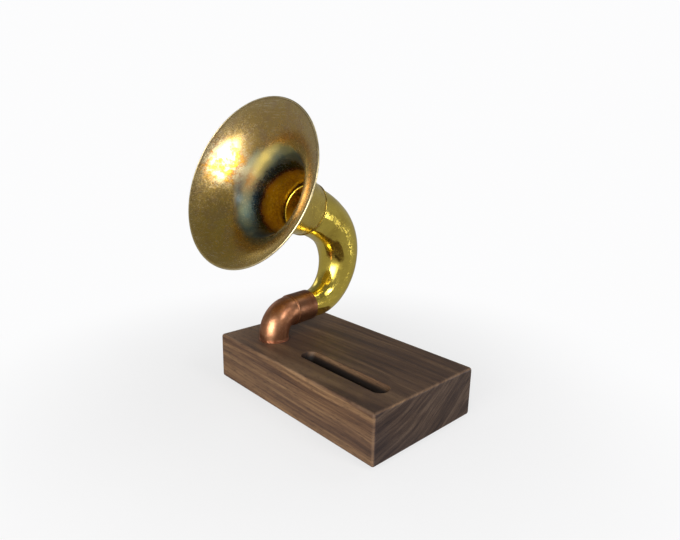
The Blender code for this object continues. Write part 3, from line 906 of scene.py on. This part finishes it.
def elbow_cup(top):
    """Stations of the cup: the shoulder where the pipe widens, and the rounded lip at its end."""
    stations = []
    steps = 56
    for step in range(1, steps + 1):
        along = CUP_END * step / steps
        share = smooth_step((along - SHOULDER_START) / (SHOULDER_LENGTH * SHOULDER_SHARPNESS))
        radius = PIPE_RADIUS + (CUP_RADIUS - PIPE_RADIUS) * share
        in_lip = max(along - CUP_END + ELBOW_LIP, 0.0)
        radius -= ELBOW_LIP - math.sqrt(max(ELBOW_LIP**2 - in_lip**2, 0.0))
        point = Vector((0, ELBOW_BEND + along, OUTLET_HEIGHT))
        stations.append((point, 0.0, radius, top + ELBOW_BEND * UPRIGHT + along))
    return stations


def make_elbow():
    """A pipe bend with turned lines above the wood, a swaged shoulder and a rounded lip."""
    top = OUTLET_HEIGHT - ELBOW_BEND
    bm = tube(elbow_leg(top) + elbow_bend(top) + elbow_cup(top), ELBOW_WALL, steps=96)
    add_piece("elbow_pipe", bm, swivel, [copper], "horn", ["copper_elbow"])


def make_packing():
    """The cork sleeve between the horn's tail and the elbow's cup."""
    near, far = PACKING_REACH
    profile = [(PACKING_RADIUS, far - PACKING_EASE), (PACKING_RADIUS, near)]
    profile += [(horn_radius(along) + GAP, along) for along in (near, TAPER_START, far)]
    profile += [(PACKING_RADIUS - PACKING_EASE, far)]
    place = swivel @ Matrix.Translation((0, ELBOW_BEND, OUTLET_HEIGHT))
    place = place @ Matrix.Rotation(-UPRIGHT, 4, "X")
    add_piece("cork_sleeve", turned(profile, steps=96), place, [cork], "horn", ["tail_packing"])


# ---------------------------------------------------------------- the horn
def make_horn():
    """The tube, whose inner faces have a second material. Its end tucks in under the bell's lip."""
    stations = []
    for point, slope, along in line:
        tuck = TUBE_EASE + SEAM_TUCK * smooth_step((along - horn_length + TUCK_START) / TUCK_RUN)
        stations.append((point, slope, horn_radius(along) - tuck, along))
    steps = 112
    bm = tube(stations, HORN_WALL, steps, TUBE_RIPPLE)
    bm.faces.ensure_lookup_table()
    for face in bm.faces[len(stations) * steps :]:
        face.material_index = 1
    looks = [bright_brass, inner_brass]
    add_piece("horn_pipe", bm, swivel, looks, "horn", ["horn_tube"])


def bell_outside():
    """(radius, height) down the bell's outer face, from its mouth to the rolled lip at its neck."""
    steps = 110
    depths = [LIP_START * (step / steps) ** 1.5 for step in range(steps)]
    steps = 14
    depths += [LIP_START + LIP_WIDTH * step / steps for step in range(steps + 1)]
    sheet = []
    for depth in depths:
        lip = 1 - ((depth - BELL_DEPTH + LIP_WIDTH / 2) / (LIP_WIDTH / 2)) ** 2
        sheet.append((bell_radius(depth) + NECK_LIP * math.sqrt(max(lip, 0.0)), -depth))
    sheet[0] = (BELL_EDGE, 0.0)
    return sheet


def bell_inside(sheet):
    """The same for its inner face, a wall's thickness in, a little thinner at the lip."""
    inner = []
    for index, (radius, height) in enumerate(sheet):
        wall = BELL_WALL * (1.0 if -height < LIP_START else 0.9)
        before, after = sheet[max(index - 1, 0)], sheet[min(index + 1, len(sheet) - 1)]
        run = Vector((after[0] - before[0], after[1] - before[1])).normalized()
        inner.append((radius + run.y * wall, height - run.x * wall))
    inner[0] = (BELL_EDGE, BELL_WALL / 2)
    return inner


def make_bell():
    """A spun sheet, a little wavy, with two materials: its outside, and its inside with the tint."""
    sheet = bell_outside()
    bm = turned(sheet + bell_inside(sheet)[::-1], steps=224)
    for vert in bm.verts:
        wave = sum(noise.noise(vert.co * scale) * height for scale, height in BELL_WAVES)
        calm = smooth_step(-vert.co.z / CALM_DEPTH)
        vert.co.xy += Vector(vert.co.xy).normalized() * wave * calm
    looks = [bell_brass, heat_tinted]
    piece = add_piece("horn_bell", bm, mouth, looks, "horn", ["bell"])
    out_of_horn = mouth.to_3x3().col[2]
    for face in piece.data.polygons:
        arm = face.center - mouth.translation
        outwards = (arm - arm.dot(out_of_horn) * out_of_horn).normalized()
        face.material_index = int(face.normal.dot(outwards - out_of_horn) < 0)


def make_bead():
    """The round wire in the bell's edge."""
    half = BEAD_THICKNESS / 2
    middle = BELL_RADIUS - BEAD_EASE - half
    profile = []
    steps = 18
    for step in range(steps):
        angle = 2 * math.pi * step / steps
        profile.append((middle + half * math.cos(angle), half * math.sin(angle)))
    bm = turned(profile, steps=288)
    add_piece("bell_bead", bm, mouth, [bead_brass], "horn", ["rim_bead"])


def make_coupling():
    """The ring inside the seam, with a rounded edge towards the mouth."""
    inner, outer = COUPLING_RADII
    high = COUPLING_REACH[0] - BELL_DEPTH
    low = -COUPLING_REACH[1] - BELL_DEPTH
    middle = (inner + outer) / 2
    round_edge = (outer - inner) / 2
    profile = [(outer, low), (inner, low)]
    steps = 12
    for step in range(steps + 1):
        angle = math.pi - math.pi * step / steps
        height = high - round_edge + round_edge * math.sin(angle)
        profile.append((middle + round_edge * math.cos(angle), height))
    bm = turned(profile, steps=160)
    add_piece("throat_ring", bm, mouth, [throat_brass], "horn", ["throat_coupling"])


make_block()
for node in ("foot_front_left", "foot_front_right", "foot_back_left", "foot_back_right"):
    make_foot(node)
make_washer()
make_seal()
make_elbow()
make_packing()
make_horn()
make_bell()
make_bead()
make_coupling()


# ---------------------------------------------------------------- CAD nodes that stay
def dress(node, look):
    """Gives a CAD node a better material."""
    frame["nodes"][node].data.materials.clear()
    frame["nodes"][node].data.materials.append(look)


dress("channel_cover", plywood_look(*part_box("channel_cover")))
for number in range(1, 7):
    dress(f"cover_screw_{number}", steel)


# ---------------------------------------------------------------- floor, light and camera
BACKDROP = (0.975, 0.975, 0.98)
FLOOR_RADIUS = 30.0
FLOOR_TONES = ((0.3, 0.80), (0.7, 0.83))
POOL_PLACE = (0.50, -0.70, 0.0)
POOL_COLOUR = (1.0, 0.98, 0.94)
# Each starts at the first distance and ends at the second, with the last two as its values there.
FADE = (0.10, 0.40, 0.72, 1.0)
POOL_GLOW = (0.1, 0.75, 1.5, 0.30)
# What the metal mirrors, from the floor's side up to overhead.
ROOM = (
    (0.00, (0.33, 0.33, 0.32)),
    (0.15, 0.31),
    (0.35, 0.25),
    (0.60, 0.17),
    (0.80, 0.16),
    (1.00, (0.17, 0.18, 0.19)),
)

# Name, azimuth, elevation, distance, size, power and colour. Azimuth 0 is in front of the block, and
# 90 at its right end.
LIGHT_HEIGHT = 0.12
DAYLIGHT = (1.0, 0.985, 0.95)
WHITE = (1, 1, 1)
LIGHTS = (
    ("key", 20, 8, 1.1, (0.78, 0.84), 16.0, DAYLIGHT),
    ("strip", 52, 14, 1.1, (0.12, 0.80), 0.45, WHITE),
    ("right", 98, 34, 1.2, (0.30, 0.46), 4.0, WHITE),
    ("left", -95, 18, 1.5, (0.50, 0.40), 0.7, WHITE),
    ("behind", 170, 50, 1.4, (0.60, 0.40), 1.5, WHITE),
    ("low", 145, -7, 0.45, (0.04, 0.13), 0.22, WHITE),
)

# The photograph's camera, whose place is measured in lengths of the block.
CAMERA_PLACE = Vector((1.62484, -1.52985, 1.15173))
CAMERA_FORWARD = Vector((-0.70572, 0.66328, -0.24902))
CAMERA_ROLL = math.radians(1.1731)
CAMERA_LENS = 28.547
CAMERA_SENSOR = 36.0
CAMERA_CLIP = (0.02, 60.0)


def distance_from(look, spot):
    """How far a point is from a spot."""
    away = look.vector("SUBTRACT", look.place, spot)
    return look.add("ShaderNodeVectorMath", {0: away}, operation="LENGTH").outputs["Value"]


def mix_shaders(look, factor, first, second):
    """The first shader where the factor is 0, and the second where it is 1."""
    node = look.add("ShaderNodeMixShader", {0: factor, 1: first, 2: second})
    return node.outputs[0]


def floor_look():
    """A pale floor that fades into the colour of the background. What mirrors it sees a bright pool
    in front of the object, on the right, as under a window."""
    look = Look("floor_pale", local=False, Specular_IOR_Level=0.1)
    dust = look.cloud(9, detail=4.0)
    look.finish(look.ramp(dust, *FLOOR_TONES), 0.75)
    fade = look.step(distance_from(look, (0, 0, 0)), *FADE)
    pale = look.add("ShaderNodeEmission", {"Color": (*BACKDROP, 1.0)}).outputs[0]
    shown = mix_shaders(look, fade, look.shader.outputs[0], pale)
    pool = look.step(distance_from(look, POOL_PLACE), *POOL_GLOW)
    glow = look.add("ShaderNodeEmission", {"Color": (*POOL_COLOUR, 1.0), "Strength": pool}).outputs[0]
    to_camera = look.add("ShaderNodeLightPath").outputs["Is Camera Ray"]
    both = mix_shaders(look, to_camera, glow, shown)
    look.feed(look.tree.nodes["Material Output"].inputs["Surface"], both)
    return look.material


def make_floor():
    """A wide disc that is there only for the picture."""
    bm = bmesh.new()
    bmesh.ops.create_circle(bm, cap_ends=True, segments=96, radius=FLOOR_RADIUS)
    mesh = bpy.data.meshes.new("floor")
    bm.to_mesh(mesh)
    bm.free()
    floor = bpy.data.objects.new("floor", mesh)
    scene.collection.objects.link(floor)
    mesh.materials.append(floor_look())


def make_world():
    """A plain pale backdrop. The metal mirrors a room that is dimmer overhead and behind."""
    world = bpy.data.worlds.new("studio")
    scene.world = world
    world.use_nodes = True
    nodes, links = world.node_tree.nodes, world.node_tree.links
    room = nodes["Background"]
    split = nodes.new("ShaderNodeSeparateXYZ")
    band = nodes.new("ShaderNodeValToRGB")
    links.new(nodes.new("ShaderNodeTexCoord").outputs["Generated"], split.inputs[0])
    links.new(split.outputs[2], band.inputs["Fac"])
    links.new(band.outputs["Color"], room.inputs["Color"])
    set_stops(band.color_ramp, ROOM)
    pale = nodes.new("ShaderNodeBackground")
    pale.inputs["Color"].default_value = (*BACKDROP, 1.0)
    both = nodes.new("ShaderNodeMixShader")
    links.new(nodes.new("ShaderNodeLightPath").outputs["Is Camera Ray"], both.inputs[0])
    links.new(room.outputs[0], both.inputs[1])
    links.new(pale.outputs[0], both.inputs[2])
    links.new(both.outputs[0], nodes["World Output"].inputs["Surface"])


def softbox(name, azimuth, elevation, distance, size, power, colour):
    """A rectangular area light that faces the object, and that the camera doesn't see."""
    turn, rise = math.radians(azimuth), math.radians(elevation)
    way = Vector((math.sin(turn) * math.cos(rise), -math.cos(turn) * math.cos(rise), math.sin(rise)))
    light = bpy.data.lights.new(name, "AREA")
    light.shape = "RECTANGLE"
    light.size, light.size_y = size
    light.energy = power
    light.color = colour
    lamp = bpy.data.objects.new(name, light)
    scene.collection.objects.link(lamp)
    lamp.location = Vector((0, 0, LIGHT_HEIGHT)) + way * distance
    lamp.rotation_mode = "QUATERNION"
    lamp.rotation_quaternion = way.to_track_quat("Z", "Y")
    lamp.visible_camera = False


def make_camera():
    """The camera at the photograph's angle, which has a slight roll."""
    length = block_high.x - block_low.x
    origin = Vector((block_middle.x, block_middle.y, block_low.z))
    forward = CAMERA_FORWARD.normalized()
    level = forward.cross(Vector((0, 0, 1))).normalized()
    over = level.cross(forward)
    right = level * math.cos(CAMERA_ROLL) + over * math.sin(CAMERA_ROLL)
    up = over * math.cos(CAMERA_ROLL) - level * math.sin(CAMERA_ROLL)
    data = bpy.data.cameras.new("camera")
    data.sensor_width = CAMERA_SENSOR
    data.lens = CAMERA_LENS
    data.clip_start, data.clip_end = CAMERA_CLIP
    camera = bpy.data.objects.new("camera", data)
    scene.collection.objects.link(camera)
    turned_to = Matrix((right, up, -forward)).transposed().to_4x4()
    camera.matrix_world = Matrix.Translation(origin + CAMERA_PLACE * length) @ turned_to
    scene.camera = camera


scene.view_settings.view_transform = "Standard"
make_floor()
make_world()
for light in LIGHTS:
    softbox(*light)
make_camera()
